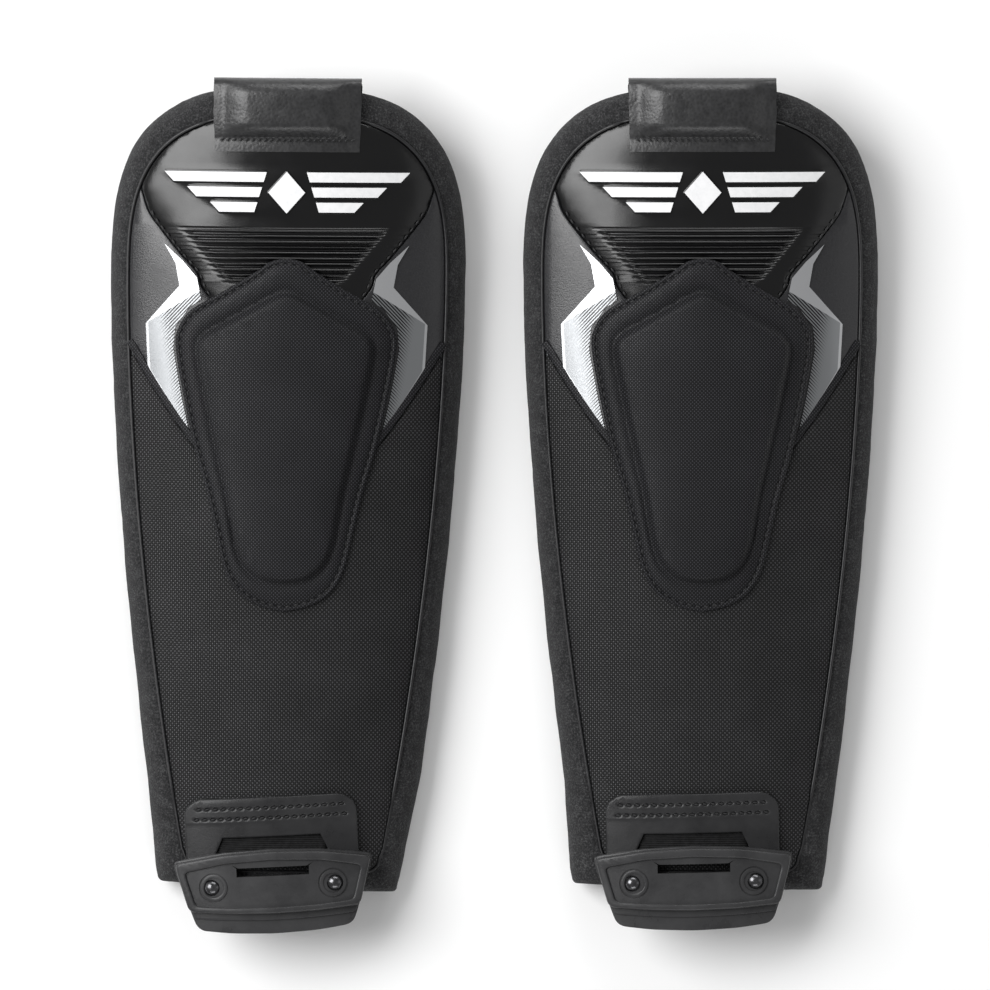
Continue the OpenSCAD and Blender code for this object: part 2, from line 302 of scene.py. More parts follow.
def bend(bm, radius):
    """Bends flat millimetres over the arch, where z becomes the height over a radius, and maps the cloth in
    millimetres."""
    cloth = bm.loops.layers.uv.new("cloth")
    for face in bm.faces:
        for loop in face.loops:
            x, y, _ = loop.vert.co
            loop[cloth].uv = (radius * math.asin(max(-1, min(1, x / radius))), y)
    for v in bm.verts:
        v.co.z = math.sqrt(max((radius + v.co.z) ** 2 - v.co.x ** 2, 0))


def placed(name, data):
    """A new object in the scene."""
    obj = bpy.data.objects.new(name, data)
    bpy.context.scene.collection.objects.link(obj)
    return obj


def evaluated(obj):
    """An object as its modifiers and simulation leave it."""
    return obj.evaluated_get(bpy.context.evaluated_depsgraph_get())


def cut(bm, outlines, low, high):
    """Cuts upright holes between two heights out of a closed shape."""
    tool = bmesh.new()
    for outline in outlines:
        face = tool.faces.new([tool.verts.new((x, y, low)) for x, y in outline])
        out = bmesh.ops.extrude_face_region(tool, geom=[face], use_keep_orig=True)
        verts = [g for g in out["geom"] if isinstance(g, bmesh.types.BMVert)]
        bmesh.ops.translate(tool, verts=verts, vec=(0, 0, high - low))
    bmesh.ops.recalc_face_normals(tool, faces=tool.faces)
    objects = []
    for name, source in (("body", bm), ("tool", tool)):
        mesh = bpy.data.meshes.new(name)
        source.to_mesh(mesh)
        objects.append(placed(name, mesh))
    body, tool_obj = objects
    less = body.modifiers.new("cut", "BOOLEAN")
    less.operation, less.object, less.solver = "DIFFERENCE", tool_obj, "EXACT"
    done = evaluated(body).to_mesh()
    bm.clear()
    bm.from_mesh(done)
    tool.free()
    for obj in objects:
        mesh = obj.data
        bpy.data.objects.remove(obj)
        bpy.data.meshes.remove(mesh)


def turned_to_clip(bm, side):
    """Moves a piece drawn about the clip's middle to its place on the pad."""
    place = Matrix.Translation((HAND[side] * CLIP_X, CLIP_Y[side], 0))
    bm.transform(place @ Matrix.Rotation(CLIP_YAW[side], 4, "Z"))


def clip_spot(side, u, v):
    """A point given about the clip's middle, in the pad's own millimetres."""
    spot = Matrix.Rotation(CLIP_YAW[side], 4, "Z") @ Vector((u, v, 0))
    return spot.x + HAND[side] * CLIP_X, spot.y + CLIP_Y[side]


def upright(x, y, radius):
    """Stands a shape on the arch, its own z along the arch's normal."""
    return (Matrix.Translation((0, y, 0)) @ Matrix.Rotation(math.asin(x / radius), 4, "Y")
            @ Matrix.Translation((0, 0, radius)))


def pad_place(side):
    """Carries a pad's own millimetres to the frame, whose clip joint gives the place."""
    joint = next(j for j in frame["joints"] if j["name"] == side + "_clip_flex")
    turn = (Matrix.Rotation(LEAN[side], 4, "Z") @ Matrix.Diagonal((HAND[side], 1, 1, 1))
            @ Matrix.Rotation(TILT, 4, "X") @ Matrix.Scale(MM, 4))
    x, y = clip_spot(side, 0, FLEX_V)
    return Matrix.Translation(Vector(joint["pos_m"]) - turn @ Vector((x, y, FLEX_Z))) @ turn


PLACE = {side: pad_place(side) for side in HAND}


def piece(bm, side, name, finish, body="pad", stands_for=(), sharp=40):
    """Makes a bmesh drawn about the arch into a finished object. It rides on a body, unless body is None."""
    bm.transform(PLACE[side])
    if HAND[side] < 0:
        bmesh.ops.reverse_faces(bm, faces=bm.faces)
    for v in bm.verts:
        v.co.z = max(v.co.z, 0)
    mesh = bpy.data.meshes.new(f"{side}_{name}")
    bm.to_mesh(mesh)
    bm.free()
    mesh.materials.append(finish)
    mesh.shade_smooth()
    mesh.set_sharp_from_angle(angle=math.radians(sharp))
    obj = placed(mesh.name, mesh)
    if body:
        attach(obj, f"{side}_{body}")
    if stands_for:
        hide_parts(*[f"{side}_{node}" for node in stands_for])
    return obj


# ---------------------------------------------------------------- materials

# Settings of noise: few or more layers of detail, and the span that its values and a weave's heights fill
SOFT_NOISE = {"Detail": 2, "Roughness": 0.6}
FINE_NOISE = {"Detail": 3, "Roughness": 0.6}
NOISE_SPAN = {"From Min": 0.3, "From Max": 0.7}
WEAVE_SPAN = {"From Min": 0.2, "From Max": 1.0}


def paint(code):
    """An sRGB hex colour as a linear one."""
    parts = [int(code[i:i + 2], 16) / 255 for i in (1, 3, 5)]
    return (*[c / 12.92 if c <= 0.04045 else ((c + 0.055) / 1.055) ** 2.4 for c in parts], 1.0)


def add(mat, kind, inputs=(), out=0, stops=(), **settings):
    """Adds a node and returns one of its outputs. An input is a value, or the output that it is linked from.
    Stops are a colour ramp's places and hex colours."""
    node = mat.node_tree.nodes.new("ShaderNode" + kind)
    for key, value in settings.items():
        setattr(node, key, value)
    for key, value in inputs.items() if isinstance(inputs, dict) else enumerate(inputs):
        if isinstance(value, bpy.types.NodeSocket):
            mat.node_tree.links.new(value, node.inputs[key])
        else:
            node.inputs[key].default_value = value
    for i, (place, code) in enumerate(stops):
        band = node.color_ramp.elements
        stop = band[i] if i < len(band) else band.new(place)
        stop.position, stop.color = place, paint(code)
    return node.outputs[out]


def new_material(name, **values):
    """A material with one Principled shader, whose constant values are set on its own sockets, and the output
    that gives a point's place on the piece."""
    mat = bpy.data.materials.new(name)
    mat.use_nodes = True
    shader = mat.node_tree.nodes["Principled BSDF"]
    for key, value in values.items():
        shader.inputs[key.replace("_", " ")].default_value = value
    return mat, shader, add(mat, "TexCoord", out="Object")


def wire(mat, shader, **sockets):
    """Links outputs of nodes to the shader."""
    for key, output in sockets.items():
        mat.node_tree.links.new(output, shader.inputs[key.replace("_", " ")])


def woven(mat, pitch):
    """Height from 0 to 1 of a plain weave, whose yarns are pitch millimetres apart. The lengthwise ones stand
    higher than the crosswise ones."""
    cloth = add(mat, "UVMap", uv_map="cloth")
    yarns = add(mat, "VectorMath", {0: cloth, "Scale": 1 / pitch}, operation="SCALE")
    cell = add(mat, "VectorMath", [yarns], operation="FLOOR")
    cell_u, cell_v = (add(mat, "SeparateXYZ", [cell], out=axis) for axis in "XY")
    cells = add(mat, "Math", [cell_u, cell_v], operation="ADD")
    odd = add(mat, "Math", [cells, 2.0], operation="FLOORED_MODULO")
    turns = add(mat, "VectorMath", {0: yarns, "Scale": math.pi}, operation="SCALE")
    waves = add(mat, "VectorMath", [turns], operation="SINE")
    waves = add(mat, "VectorMath", [waves], operation="ABSOLUTE")
    wave_u, wave_v = (add(mat, "SeparateXYZ", [waves], out=axis) for axis in "XY")
    heights = []
    for across, along, height in ((wave_u, wave_v, 1.0), (wave_v, wave_u, 0.55)):
        ridge = add(mat, "Math", [across, 0.6], operation="POWER")
        arch = add(mat, "Math", [along, 0.5 * height, 0.5 * height], operation="MULTIPLY_ADD")
        heights.append(add(mat, "Math", [ridge, arch], operation="MULTIPLY"))
    lengthwise, crosswise = heights
    return add(mat, "Mix", {"Factor": odd, "A": lengthwise, "B": crosswise}, out="Result", data_type="FLOAT")


def felt_finish():
    """Needle-punched wool felt: matt, matted fibres that catch light as soft pale specks."""
    mat, shader, spot = new_material("charcoal_wool_felt", Roughness=0.95, Specular_IOR_Level=0.1,
                                      Sheen_Weight=0.06, Sheen_Roughness=0.5)
    fibres = add(mat, "TexNoise", {"Vector": spot, "Scale": 1600, "Detail": 5, "Roughness": 0.75})
    clumps = add(mat, "TexNoise", {"Vector": spot, "Scale": 260, **FINE_NOISE})
    matted = add(mat, "Mix", {"Factor": 0.18, "A": fibres, "B": clumps}, out="Result", data_type="FLOAT")
    tone = add(mat, "ValToRGB", [matted], stops=[(0.34, "#1b1b1c"), (0.5, "#2e2e2f"), (0.66, "#565657")])
    relief = add(mat, "Bump", {"Height": matted, "Distance": 0.0007, "Strength": 0.8})
    wire(mat, shader, Base_Color=tone, Normal=relief)
    return mat


def nylon_finish():
    """Woven ballistic nylon, plain weave, yarns 0.7 mm apart. Its colour follows the weave's height: a
    painted highlight on the yarn tops and painted shade in the gaps.
    """
    mat, shader, spot = new_material("black_ballistic_nylon", Specular_IOR_Level=0.3)
    height = woven(mat, 0.72)
    worn = add(mat, "TexNoise", {"Vector": spot, "Scale": 60, **SOFT_NOISE})
    wear_and_painted_shading = add(mat, "Math", [worn, 0.3, -0.15], operation="MULTIPLY_ADD")
    wear_and_painted_shading = add(mat, "Math", [height, wear_and_painted_shading], operation="ADD")
    # The ramp paints a highlight on the yarn tops and shade in the gaps, with some random wear on top.
    tone = add(mat, "ValToRGB", [wear_and_painted_shading], stops=[(0.15, "#020202"), (0.5, "#0d0d0e"), (0.95, "#434345")])
    rough = add(mat, "MapRange", {"Value": height, **WEAVE_SPAN, "To Min": 0.791, "To Max": 0.262})
    relief = add(mat, "Bump", {"Height": height, "Distance": 0.00022, "Strength": 0.7})
    wire(mat, shader, Base_Color=tone, Roughness=rough, Normal=relief)
    return mat


def cap_cloth_finish():
    """Plain-woven polyester laminated on foam, smoother than the nylon. The real yarns are 0.4 mm apart and
    are drawn 0.6 mm apart, so that they show. Its colour follows the weave's height: a painted highlight on
    the yarn tops and painted shade in the gaps."""
    mat, shader, spot = new_material("black_woven_polyester", Specular_IOR_Level=0.2, Sheen_Weight=0.03)
    height = woven(mat, 0.6)
    worn = add(mat, "TexNoise", {"Vector": spot, "Scale": 40, **SOFT_NOISE})
    wear_and_painted_shading = add(mat, "Math", [worn, 0.24, -0.12], operation="MULTIPLY_ADD")
    wear_and_painted_shading = add(mat, "Math", [height, wear_and_painted_shading], operation="ADD")
    # The ramp paints a highlight on the yarn tops and shade in the gaps, with some random wear on top.
    tone = add(mat, "ValToRGB", [wear_and_painted_shading], stops=[(0.15, "#040405"), (0.5, "#121214"), (0.95, "#404044")])
    rough = add(mat, "MapRange", {"Value": height, **WEAVE_SPAN, "To Min": 0.687, "To Max": 0.314})
    relief = add(mat, "Bump", {"Height": height, "Distance": 0.0001, "Strength": 0.6})
    wire(mat, shader, Base_Color=tone, Roughness=rough, Normal=relief)
    return mat


def gloss_finish():
    """Thermoformed polyurethane film, glossy black: sharp highlights that waver a little over the foam."""
    mat, shader, spot = new_material("gloss_black_polyurethane", Base_Color=paint("#060607"), IOR=1.5)
    haze = add(mat, "TexNoise", {"Vector": spot, "Scale": 120, **FINE_NOISE})
    rough = add(mat, "MapRange", {"Value": haze, **NOISE_SPAN, "To Min": 0.19, "To Max": 0.26})
    waver = add(mat, "TexNoise", {"Vector": spot, "Scale": 45, **SOFT_NOISE})
    grain = add(mat, "TexNoise", {"Vector": spot, "Scale": 1500, **SOFT_NOISE})
    height = add(mat, "Math", [grain, 0.05, waver], operation="MULTIPLY_ADD")
    relief = add(mat, "Bump", {"Height": height, "Distance": 0.0006, "Strength": 0.35})
    wire(mat, shader, Roughness=rough, Normal=relief)
    return mat


def film_finish():
    """Embossed polyurethane film, matt dark grey, with a grain of 0.35 mm."""
    mat, shader, spot = new_material("matt_grey_polyurethane", IOR=1.5)
    grain = add(mat, "TexNoise", {"Vector": spot, "Scale": 2200, **SOFT_NOISE})
    haze = add(mat, "TexNoise", {"Vector": spot, "Scale": 90, **FINE_NOISE})
    tone = add(mat, "ValToRGB", [grain], stops=[(0.3, "#202022"), (0.7, "#2c2c2e")])
    rough = add(mat, "MapRange", {"Value": haze, **NOISE_SPAN, "To Min": 0.202, "To Max": 0.314})
    relief = add(mat, "Bump", {"Height": grain, "Distance": 0.00012, "Strength": 0.5})
    wire(mat, shader, Base_Color=tone, Roughness=rough, Normal=relief)
    return mat


def silver_finish():
    """Silver screen print on film, metallic ink: solid above a slanted line and along its outer edge, and
    below it a ground that fades towards the cap through slanted lines 1.2 mm apart."""
    line_pitch, fade_from, fade_to = 1.2, -0.5, 6.5
    rim, slanted_rim = 0.9, 1.1
    mat, shader, spot = new_material("silver_screen_print", Metallic=0.55)
    cloth = add(mat, "UVMap", uv_map="cloth")
    along = add(mat, "SeparateXYZ", [cloth], out="Y")
    across = add(mat, "SeparateXYZ", [cloth], out="X")
    across = add(mat, "Math", [across], operation="ABSOLUTE")
    # Each edge is a straight line on the cloth map, given by its slope and place in millimetres.
    slant = add(mat, "Math", [across, 0.579, along], operation="MULTIPLY_ADD")
    band = add(mat, "Math", [slant, 86.7], operation="GREATER_THAN")
    upper_edge = add(mat, "Math", [along, 0.059, 44.1 - rim], operation="MULTIPLY_ADD")
    lower_edge = add(mat, "Math", [along, 0.683, 16.65 - slanted_rim], operation="MULTIPLY_ADD")
    edge = add(mat, "Math", [upper_edge, lower_edge], operation="MINIMUM")
    outline = add(mat, "Math", [across, edge], operation="GREATER_THAN")
    solid = add(mat, "Math", [band, outline], operation="MAXIMUM")
    cross = add(mat, "Math", [across, along], operation="ADD")
    cross = add(mat, "Math", [cross, 2 * math.pi / line_pitch], operation="MULTIPLY")
    lines = add(mat, "Math", [cross], operation="SINE")
    lines = add(mat, "Math", [lines, 0.5, 0.5], operation="MULTIPLY_ADD")
    cap_side = add(mat, "Math", [along, 0.19, 27.5], operation="MULTIPLY_ADD")
    from_cap = add(mat, "Math", [across, cap_side], operation="SUBTRACT")
    fade = add(mat, "MapRange", {"Value": from_cap, "From Min": fade_from, "From Max": fade_to})
    inked = add(mat, "Math", [lines, fade], operation="ADD")
    ground = add(mat, "ValToRGB", [inked], stops=[(0.35, "#1d1d1e"), (0.75, "#858789")])
    ink = paint("#b4b5b7")
    tone = add(mat, "Mix", {"Factor": solid, "A": ground, "B": ink}, out="Result", data_type="RGBA")
    speck = add(mat, "TexNoise", {"Vector": spot, "Scale": 1800, **SOFT_NOISE})
    rough = add(mat, "MapRange", {"Value": speck, **NOISE_SPAN, "To Min": 0.098, "To Max": 0.223})
    wire(mat, shader, Base_Color=tone, Roughness=rough)
    return mat


def window_shade_sheet_finish():
    """Nearly black sheet with fine crosswise ribs 0.7 mm apart, painted shade for the pad seen through the
    strap's window; its colour is also darker between the ribs.
    """
    rib_pitch = 0.7
    mat, shader, spot = new_material("dark_window_shade_sheet", Roughness=0.8, Specular_IOR_Level=0.2)
    cloth = add(mat, "UVMap", uv_map="cloth")
    along = add(mat, "SeparateXYZ", [cloth], out="Y")
    along = add(mat, "Math", [along, 2 * math.pi / rib_pitch], operation="MULTIPLY")
    ribs = add(mat, "Math", [along], operation="SINE")
    fray = add(mat, "TexNoise", {"Vector": spot, "Scale": 700, **FINE_NOISE})
    height = add(mat, "Math", [ribs, 0.25, fray], operation="MULTIPLY_ADD")
    tone = add(mat, "ValToRGB", [height], stops=[(0.25, "#080808"), (0.8, "#232324")])
    relief = add(mat, "Bump", {"Height": height, "Distance": 0.0002, "Strength": 0.6})
    wire(mat, shader, Base_Color=tone, Normal=relief)
    return mat


def emblem_finish():
    """White screen print on raised film, satin."""
    mat, shader, spot = new_material("white_screen_print", Roughness=0.42)
    worn = add(mat, "TexNoise", {"Vector": spot, "Scale": 500, "Detail": 4, "Roughness": 0.6})
    tone = add(mat, "ValToRGB", [worn], stops=[(0.2, "#e2e3e4"), (0.6, "#efeff0")])
    wire(mat, shader, Base_Color=tone)
    return mat


def leather_finish():
    """Synthetic leather, polyurethane on cloth: shallow pebbled grain of 0.9 mm, soft satin highlights."""
    mat, shader, spot = new_material("black_synthetic_leather", IOR=1.48, Specular_IOR_Level=0.6)
    pebbles = add(mat, "TexVoronoi", {"Vector": spot, "Scale": 1100}, feature="SMOOTH_F1")
    creases = add(mat, "TexNoise", {"Vector": spot, "Scale": 320, "Detail": 4, "Roughness": 0.6})
    grain = add(mat, "Math", [pebbles, creases], operation="ADD")
    grain = add(mat, "Math", [grain, 0.6], operation="MULTIPLY")
    tone = add(mat, "ValToRGB", [grain], stops=[(0.3, "#1d1d1e"), (0.8, "#2f2f30")])
    rough = add(mat, "MapRange", {"Value": creases, **NOISE_SPAN, "To Min": 0.3, "To Max": 0.42})
    relief = add(mat, "Bump", {"Height": grain, "Distance": 0.0003, "Strength": 0.4})
    wire(mat, shader, Base_Color=tone, Roughness=rough, Normal=relief)
    return mat


def rubber_finish(name, dark, light):
    """Moulded TPE rubber: matt dark grey, faint flow marks and a rubbed bloom."""
    mat, shader, spot = new_material(name, IOR=1.5, Specular_IOR_Level=0.25)
    bloom = add(mat, "TexNoise", {"Vector": spot, "Scale": 70, "Detail": 5, "Roughness": 0.65})
    fine = add(mat, "TexNoise", {"Vector": spot, "Scale": 1700, **SOFT_NOISE})
    tone = add(mat, "ValToRGB", [bloom], stops=[(0.3, dark), (0.7, light)])
    rough = add(mat, "MapRange", {"Value": bloom, **NOISE_SPAN, "To Min": 0.231, "To Max": 0.352})
    relief = add(mat, "Bump", {"Height": fine, "Distance": 0.00008, "Strength": 0.5})
    wire(mat, shader, Base_Color=tone, Roughness=rough, Normal=relief)
    return mat


def rivet_finish():
    """Black-nickel plated steel, polished by the press: a dark mirror with a fine wipe."""
    mat, shader, spot = new_material("black_nickel_steel", Metallic=1.0)
    wipe = add(mat, "TexNoise", {"Vector": spot, "Scale": 900, **FINE_NOISE})
    tone = add(mat, "ValToRGB", [wipe], stops=[(0.3, "#525254"), (0.7, "#6a6a6c")])
    rough = add(mat, "MapRange", {"Value": wipe, **NOISE_SPAN, "To Min": 0.2, "To Max": 0.28})
    wire(mat, shader, Base_Color=tone, Roughness=rough)
    return mat


def thread_finish():
    """Bonded nylon thread, twisted, faintly waxy."""
    mat, shader, spot = new_material("black_bonded_thread", Roughness=0.6, Sheen_Weight=0.1)
    twist = add(mat, "TexWave", {"Vector": spot, "Scale": 900, "Distortion": 2.0}, out="Fac")
    tone = add(mat, "ValToRGB", [twist], stops=[(0.2, "#060607"), (0.9, "#222224")])
    wire(mat, shader, Base_Color=tone)
    return mat


def piping_finish():
    """Polyurethane piping over cord, satin."""
    mat, shader, spot = new_material("satin_polyurethane_piping", Roughness=0.4)
    grain = add(mat, "TexNoise", {"Vector": spot, "Scale": 800, **FINE_NOISE})
    tone = add(mat, "ValToRGB", [grain], stops=[(0.3, "#121213"), (0.7, "#232325")])
    relief = add(mat, "Bump", {"Height": grain, "Distance": 0.0001, "Strength": 0.4})
    wire(mat, shader, Base_Color=tone, Normal=relief)
    return mat


def foam_finish():
    """Closed-cell EVA foam, grey, with open cut cells of about 0.5 mm."""
    mat, shader, spot = new_material("grey_eva_foam", Roughness=0.9)
    cells = add(mat, "TexVoronoi", {"Vector": spot, "Scale": 2000})
    tone = add(mat, "ValToRGB", [cells], stops=[(0.0, "#5c5e60"), (0.7, "#909295")])
    relief = add(mat, "Bump", {"Height": cells, "Distance": 0.0002, "Strength": 0.6})
    wire(mat, shader, Base_Color=tone, Normal=relief)
    return mat


def plate_finish():
    """Injection-moulded polyethylene, black, satin from the mould, with faint flow marks."""
    mat, shader, spot = new_material("black_moulded_polyethylene", IOR=1.5)
    flow = add(mat, "TexNoise", {"Vector": spot, "Scale": 60, "Detail": 4, "Roughness": 0.6})
    tone = add(mat, "ValToRGB", [flow], stops=[(0.3, "#101011"), (0.7, "#1b1b1c")])
    rough = add(mat, "MapRange", {"Value": flow, **NOISE_SPAN, "To Min": 0.117, "To Max": 0.216})
    wire(mat, shader, Base_Color=tone, Roughness=rough)
    return mat


def cut_edge_highlight_finish():
    """Cut edge of the leather, painted pale grey: a painted highlight along the edge, with a random fibre
    tone.
    """
    mat, shader, spot = new_material("pale_cut_edge_highlight", Roughness=0.85)
    fibres = add(mat, "TexNoise", {"Vector": spot, "Scale": 1400, **FINE_NOISE})
    tone = add(mat, "ValToRGB", [fibres], stops=[(0.3, "#3a3a3b"), (0.7, "#7d7d7e")])
    wire(mat, shader, Base_Color=tone)
    return mat


CUT_EDGE_HIGHLIGHT = cut_edge_highlight_finish()
FELT, NYLON, CAP_CLOTH = felt_finish(), nylon_finish(), cap_cloth_finish()
GLOSS, FILM, SILVER, EMBLEM = gloss_finish(), film_finish(), silver_finish(), emblem_finish()
LEATHER, RIVET = leather_finish(), rivet_finish()
CLIP_RUBBER = rubber_finish("charcoal_moulded_rubber", "#303031", "#404041")
STRAP_RUBBER = rubber_finish("soft_black_strap_rubber", "#242425", "#323233")
THREAD, PIPING, WINDOW_SHADE_SHEET = thread_finish(), piping_finish(), window_shade_sheet_finish()
FOAM, PLATE = foam_finish(), plate_finish()


# ---------------------------------------------------------------- pieces

def shell_side(y):
    """Half-width of the sewn shell at y."""
    if y <= WIDE_Y:
        return side_at(SHELL, y)
    rise = min((y - WIDE_Y) / SHELL["dome"], 1)
    return SHELL["half"] * (1 - rise ** DOME_POWER) ** (1 / DOME_POWER)


def swollen(obj, most, held, pressure=4.0):
    """Lets pressure inside swell a padded skin by cloth simulation, and keeps only its shape. No point moves
    further than most, and held says which points stay where they are sewn or pressed down."""
    scene, mesh = bpy.context.scene, obj.data
    before = [v.co.copy() for v in mesh.vertices]
    pins = obj.vertex_groups.new(name="pins")
    pins.add([v.index for v in mesh.vertices if held(v.co)], 1.0, "REPLACE")
    swell = obj.modifiers.new("swell", "CLOTH")
    swell.settings.vertex_group_mass = pins.name
    swell.settings.use_pressure = True
    swell.settings.uniform_pressure_force = pressure
    swell.settings.effector_weights.gravity = 0
    swell.point_cache.frame_start, swell.point_cache.frame_end = 1, 20
    for frame_number in range(1, 21):
        scene.frame_set(frame_number)
    after = evaluated(obj).data
    moves = [after.vertices[i].co - co for i, co in enumerate(before)]
    obj.modifiers.remove(swell)
    obj.vertex_groups.remove(pins)
    scene.frame_set(1)
    for v, move in zip(mesh.vertices, moves):
        if move.length > most:
            move = move.normalized() * most
        v.co += move
        v.co.z = max(v.co.z, 0)
    return obj


def felt_body(side):
    """Felt liner: a tray whose thick rolled rim stands round the sewn shell."""
    rim, shell = arched(RIM), arched(SHELL)
    section = [
        (1.6, 96.1), (1.16, 96.1), (1.13, 98.5), (1.1, 102.2), (1.0, 103.3), (0.85, 103.8), (0.65, 103.9),
        (0.45, 103.5), (0.28, 102.6), (0.14, 101.2), (0.05, 99.4), (0.0, 97.4), (0.02, 95.4), (0.09, 93.7),
        (0.2, 92.6), (0.35, 92.1), (0.6, 92.0), (1.6, 92.0),
    ]
    rings = [level(between(rim, shell, share), r - ARCH_R) for share, r in section]
    bm = skin(rings, (4, 6))
    bend(bm, ARCH_R)
    bm.normal_update()
    flare_y, flare_len, toe_half = -90, 32, 40
    for v in bm.verts:
        near_toe = min(max((flare_y - v.co.y) / flare_len, 0), 1)
        v.co.y += TOE_SLOPE[side] * v.co.x * near_toe
        v.co.x += TOE_OUT[side][v.co.x > 0] * near_toe * v.co.x / toe_half
        lump = 0.25 * noise.noise(v.co * 0.07) + 0.1 * noise.noise(v.co * 0.5)
        v.co += v.normal * lump
    obj = piece(bm, side, "felt_body", FELT, stands_for=["felt_liner"])
    to_pad = PLACE[side].inverted()

    def pressed(co):
        x, y, z = to_pad @ co
        return z < 60 or math.hypot(x, z) < 97.0 or y < -112 or abs(x) < shell_side(y) + 0.8
    return swollen(obj, 0.0011, pressed)


def nylon_front(side):
    """Woven panel from the toe up to the hems of the wings."""
    shell = [p for p in arched(SHELL) if p[0] >= 0 and p[1] < 50.2]
    hem = [(x - 0.1, y - 0.15) for x, y in smoothed(WING_HEM[1:])]
    half = shell + hem + [(0, 8.8)]
    outline = both_sides(half)
    bm = slab(outline, PANEL_T, 0.5)
    slice_up(bm, 3, 4)
    puff(bm, outline, 0.7, 4)
    bend(bm, FRONT_R - PANEL_T)
    return piece(bm, side, "nylon_front", NYLON, stands_for=["nylon_panel"])


def rib_height(x, y):
    """Moulded ribs in a triangle that narrows towards the shin cap."""
    first, low, high, pitch, depth = 73.7, 72.6, 91.0, 1.8, 0.42
    half = 19.8 + 0.84 * (y - first)
    inside = min((half - abs(x)) / 1.2, (y - low) / 0.8, (high - y) / 0.8)
    if inside <= 0:
        return 0.0
    return min(inside, 1) * (depth * math.cos(2 * math.pi * (y - first) / pitch) - depth)


def emblem_pad(x, y):
    """Soft raised field round the emblem."""
    middle, reach, rise, slope_width = 102.6, 6.8, 0.5, 2.2
    away = max(abs(x) - (19.5 + 1.53 * (y - 96)), abs(y - middle) - reach)
    return rise * (1 - min(max(away / slope_width + 0.5, 0), 1)) if away < 1.2 else 0.0


def crest(side):
    """Glossy padded panel at the top, with moulded ribs and a raised field round the emblem."""
    seam = [(x - 0.15, y) for x, y in smoothed(CREST_SEAM) if y < 103.2]
    top = [p for p in arched(SHELL) if p[0] >= 0 and p[1] > 103.3]
    outline = both_sides([(0, 62)] + seam[::-1] + top)
    bm = slab(outline, PANEL_T, 0.5)
    slice_up(bm, 1.6, 1.3)
    slice_up_band(bm, 72.4, 91.2, 0.3)
    puff(bm, outline, 0.9, 3)
    for _ in range(6):
        bmesh.ops.smooth_vert(bm, verts=[v for v in bm.verts if v.co.z > 1.25], factor=0.5, use_axis_z=True)
    for v in bm.verts:
        if v.co.z > 1:
            v.co.z += rib_height(v.co.x, v.co.y) + emblem_pad(v.co.x, v.co.y)
    bend(bm, FRONT_R - PANEL_T)
    return piece(bm, side, "crest", GLOSS, stands_for=["crest_panel"], sharp=60)


def wing(side, hand, word):
    """Matt film panel between the crest and the nylon, at one side."""
    low, high, count = 50.8, 103.0, 26
    rows = [low + (high - low) * k / count for k in range(count + 1)]
    seam = [p for p in smoothed(CREST_SEAM) if p[1] < 102.9]
    outline = handed([(shell_side(y), y) for y in rows] + seam + smoothed(WING_HEM[1:])[::-1], hand)
    bm = slab(outline, PANEL_T, 0.4)
    slice_up(bm, 2.5, 3.5)
    puff(bm, outline, 0.45, 3)
    bend(bm, FRONT_R - PANEL_T)
    return piece(bm, side, f"wing_film_{word}", FILM, stands_for=[f"wing_{word}"])


def wing_hem(side, hand, word):
    """Turned hem along the lower edge of a wing, a narrow strip."""
    width = 2.3
    path = smoothed(WING_HEM[:5])
    inner = []
    for a, b in zip(path, path[1:] + [path[-1]]):
        run = Vector(b) - Vector(a) if b != a else Vector(path[-1]) - Vector(path[-2])
        run.normalize()
        inner.append((a[0] + run.y * width, a[1] - run.x * width))
    bm = slab(handed(path + inner[::-1], -hand), 0.6, 0.25)
    slice_up(bm, 2.5, 3)
    bmesh.ops.recalc_face_normals(bm, faces=bm.faces)
    bend(bm, FRONT_R + 0.15)
    return piece(bm, side, f"wing_hem_{word}", CAP_CLOTH)


def flash(side, hand, word):
    """Printed film on a wing."""
    bm = slab(handed(FLASH[::-1], hand), 0.25, 0)
    slice_up(bm, 2.5, 3.5)
    bend(bm, FRONT_R + 0.42)
    return piece(bm, side, f"flash_print_{word}", SILVER, stands_for=[f"flash_{word}"])


def emblem_bars():
    """Outlines of the lozenge and the tapering bars."""
    bars = [[(0, 95.6), (6, 102.4), (0, 109.2), (-6, 102.4)]]
    for k in range(3):
        low, tip, foot = 96 + 4.9 * k, 22 + 7.5 * k, 10.5 - 1.5 * k
        bar = [(foot, low), (tip, low), (tip + 3, low + 3.2), (foot - 1, low + 3.2)]
        bars += [handed(bar, 1), handed(bar, -1)]
    return bars


def emblem(side):
    """A plain lozenge between three tapering bars on each side, printed on raised lands of the crest."""
    lands, prints = bmesh.new(), bmesh.new()
    for bar in emblem_bars():
        land = slab(rounded(moved_in(bar, -0.7), 0.8), 1.2, 0.4)
        slice_up(land, 2, 0)
        joined(lands, land)
        ink = slab(bar, 0.25, 0)
        slice_up(ink, 2, 0)
        joined(prints, ink)
    bend(lands, FRONT_R + 0.7)
    bend(prints, FRONT_R + 1.85)
    piece(lands, side, "emblem_lands", GLOSS)
    return piece(prints, side, "emblem_print", EMBLEM, stands_for=["emblem"])


def cap_edge():
    """Outline of the shin cap, in points the same distance apart."""
    return spread(both_sides(smoothed(CAP_HALF, 6)), CAP_POINTS)


